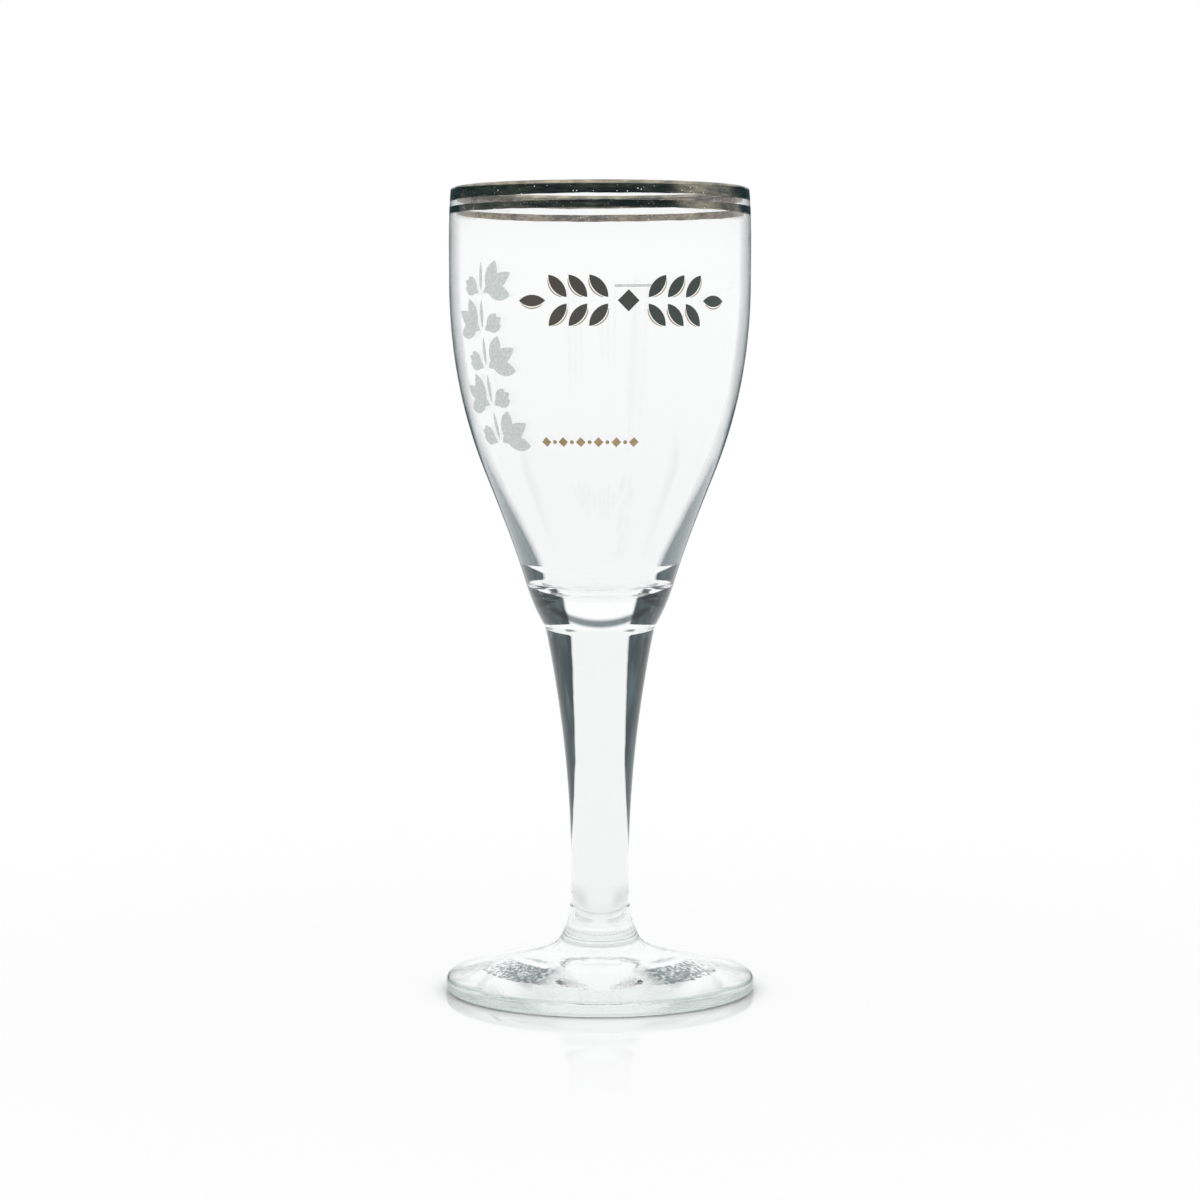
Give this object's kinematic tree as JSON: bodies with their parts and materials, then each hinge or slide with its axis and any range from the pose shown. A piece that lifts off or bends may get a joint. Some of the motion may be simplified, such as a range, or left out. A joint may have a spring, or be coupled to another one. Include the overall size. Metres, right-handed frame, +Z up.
{
  "type": "tulip beer glass",
  "caption": "Stemmed tulip beer glass: thick-based bowl, solid tapered stem and round foot fused together, with a gold-banded lip and fired prints; stands on its own and holds a drink.",
  "frame": {"origin": "centre of the foot, on the surface that the glass stands on", "axes": "+Z up along the glass's own axis, -Y towards the front print"},
  "size_m": [0.0782, 0.0782, 0.2021],
  "materials": {
    "clear_glass": "fire-polished, clear",
    "fired_gold": "brushed-on fired gold, worn",
    "dark_enamel": "fired enamel, glossy",
    "print_gold": "printed fired gold",
    "frost_enamel": "frosted enamel, matt"
  },
  "bodies": {
    "root": {"bowl": "clear_glass", "stem": "clear_glass", "foot": "clear_glass", "lip_gold_band": "fired_gold", "lower_gold_line": "fired_gold", "front_enamel": "dark_enamel", "front_gilding": "print_gold", "small_gilding": "print_gold", "side_frost_print": "frost_enamel", "fill_line": "frost_enamel"}
  },
  "joints": []
}
